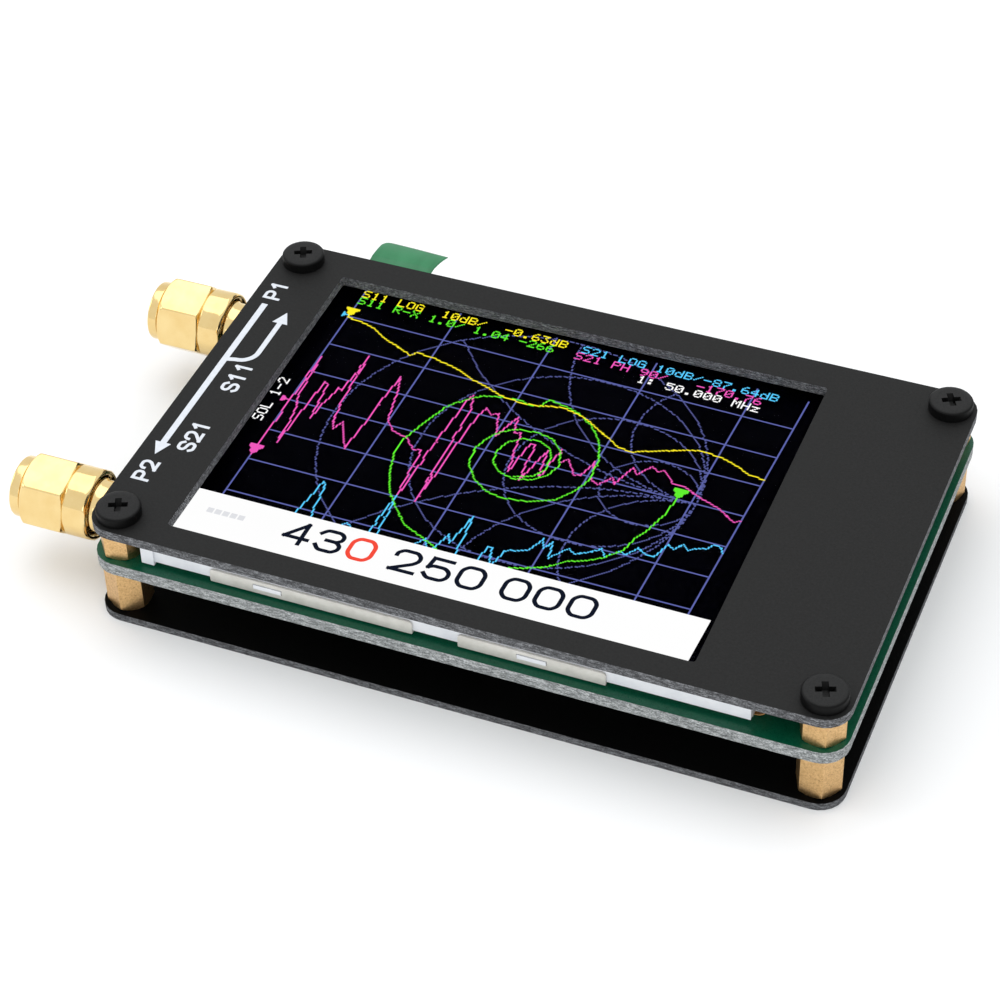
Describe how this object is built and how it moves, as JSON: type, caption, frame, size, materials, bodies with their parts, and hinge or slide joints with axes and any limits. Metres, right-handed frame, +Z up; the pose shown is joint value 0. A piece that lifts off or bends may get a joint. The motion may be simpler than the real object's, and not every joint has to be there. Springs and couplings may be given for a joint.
{
  "type": "handheld vector network analyzer",
  "caption": "Palm-size two-port radio test instrument: stacked boards on brass standoffs, touch display in a panel window, threaded coaxial ports with screw-on caps.",
  "frame": {"origin": "centre of the back plate's flat underside, which the instrument rests on", "axes": "+X along the long edge, away from the coaxial ports; +Y along the short edge, towards the edge with the USB socket and the controls; +Z up through the screen"},
  "size_m": [0.0975, 0.0594, 0.0147],
  "materials": {
    "matte_panel": "matt black solder mask on glass-fibre board, pale fibres on the cut edges",
    "green_board": "glossy dark green solder mask, pale fibres on the cut edges",
    "dull_brass": "dull, stained brass",
    "gold_plate": "bright polished gold plate",
    "black_oxide": "satin black oxide steel",
    "tray_steel": "satin tinned sheet",
    "white_plastic": "moulded, slightly grained",
    "light_guide": "clear acrylic sheet",
    "screen": "dark liquid crystal cell with a lit picture",
    "touch_glass": "clear touch panel",
    "clear_film": "clear protective film",
    "green_film": "translucent green film",
    "flex": "amber polyimide ribbon",
    "foam_tape": "black foam tape",
    "ptfe": "white fluoropolymer",
    "gasket_rubber": "soft black rubber",
    "pouch_foil": "crinkled aluminium laminate",
    "red_wire": "red silicone",
    "black_wire": "black silicone",
    "plated_steel": "tinned or nickel-plated sheet",
    "black_plastic": "black moulding compound"
  },
  "bodies": {
    "root": {"audio_codec": "black_plastic", "back_plate": "matte_panel", "battery_cell": "pouch_foil", "battery_lead_black": "black_wire", "battery_lead_red": "red_wire", "battery_plug": "white_plastic", "battery_socket": "white_plastic", "battery_tape": "foam_tape", "bottom_screw_1": "black_oxide", "bottom_screw_2": "black_oxide", "bottom_screw_3": "black_oxide", "bottom_screw_4": "black_oxide", "charger_chip": "black_plastic", "clock_generator": "black_plastic", "display_cell": "screen", "display_flex": "flex", "display_frame": "white_plastic", "display_tape": "foam_tape", "display_tray": "tray_steel", "film_tab": "green_film", "front_panel": "matte_panel", "light_guide": "light_guide", "lower_standoff_1": "dull_brass", "lower_standoff_2": "dull_brass", "lower_standoff_3": "dull_brass", "lower_standoff_4": "dull_brass", "main_board": "green_board", "microcontroller": "black_plastic", "mixer_1": "black_plastic", "mixer_2": "black_plastic", "mixer_3": "black_plastic", "port_contact_1": "gold_plate", "port_contact_2": "gold_plate", "port_insulator_1": "ptfe", "port_insulator_2": "ptfe", "port_jack_1": "gold_plate", "port_jack_2": "gold_plate", "power_switch_housing": "plated_steel", "reference_oscillator": "plated_steel", "rocker_housing": "black_plastic", "screen_film": "clear_film", "shield_can": "plated_steel", "top_screw_1": "black_oxide", "top_screw_2": "black_oxide", "top_screw_3": "black_oxide", "top_screw_4": "black_oxide", "touch_panel": "touch_glass", "upper_standoff_1": "dull_brass", "upper_standoff_2": "dull_brass", "upper_standoff_3": "dull_brass", "upper_standoff_4": "dull_brass", "usb_shell": "plated_steel", "usb_tongue": "black_plastic"},
    "cap_carrier_1": {"cap_gasket_1": "gasket_rubber"},
    "cap_1": {"cap_shell_1": "gold_plate"},
    "cap_carrier_2": {"cap_gasket_2": "gasket_rubber"},
    "cap_2": {"cap_shell_2": "gold_plate"},
    "power_slider": {"power_switch_slider": "black_plastic"},
    "rocker_fork": {"rocker_fork": "white_plastic"},
    "rocker_lever": {"rocker_lever": "black_plastic"}
  },
  "joints": [
    {"name": "cap_travel_1", "type": "slide", "parent": "root", "child": "cap_carrier_1", "axis": [-1, 0, 0], "range_m": [0, 0.0074]},
    {"name": "cap_turn_1", "type": "hinge", "parent": "cap_carrier_1", "child": "cap_1", "pos_m": [-0.04495, 0.0146, 0.0089], "axis": [-1, 0, 0], "range_deg": [0, 3780]},
    {"name": "cap_travel_2", "type": "slide", "parent": "root", "child": "cap_carrier_2", "axis": [-1, 0, 0], "range_m": [0, 0.0074]},
    {"name": "cap_turn_2", "type": "hinge", "parent": "cap_carrier_2", "child": "cap_2", "pos_m": [-0.04495, -0.0192, 0.0089], "axis": [-1, 0, 0], "range_deg": [0, 3780]},
    {"name": "power_slide", "type": "slide", "parent": "root", "child": "power_slider", "axis": [1, 0, 0], "range_m": [0, 0.002]},
    {"name": "rocker_press", "type": "slide", "parent": "root", "child": "rocker_fork", "axis": [0, -1, 0], "range_m": [0, 0.0005], "stiffness_N_per_m": 2000},
    {"name": "rocker_tilt", "type": "hinge", "parent": "rocker_fork", "child": "rocker_lever", "pos_m": [-0.014, 0.0253, 0.0056], "axis": [0, 0, 1], "range_deg": [-10, 10], "stiffness_Nm_per_rad": 0.03}
  ],
  "couplings": [
    {"joint": "cap_turn_1", "follows": "cap_travel_1", "rad_per_m": 8905.3},
    {"joint": "cap_turn_2", "follows": "cap_travel_2", "rad_per_m": 8905.3}
  ]
}
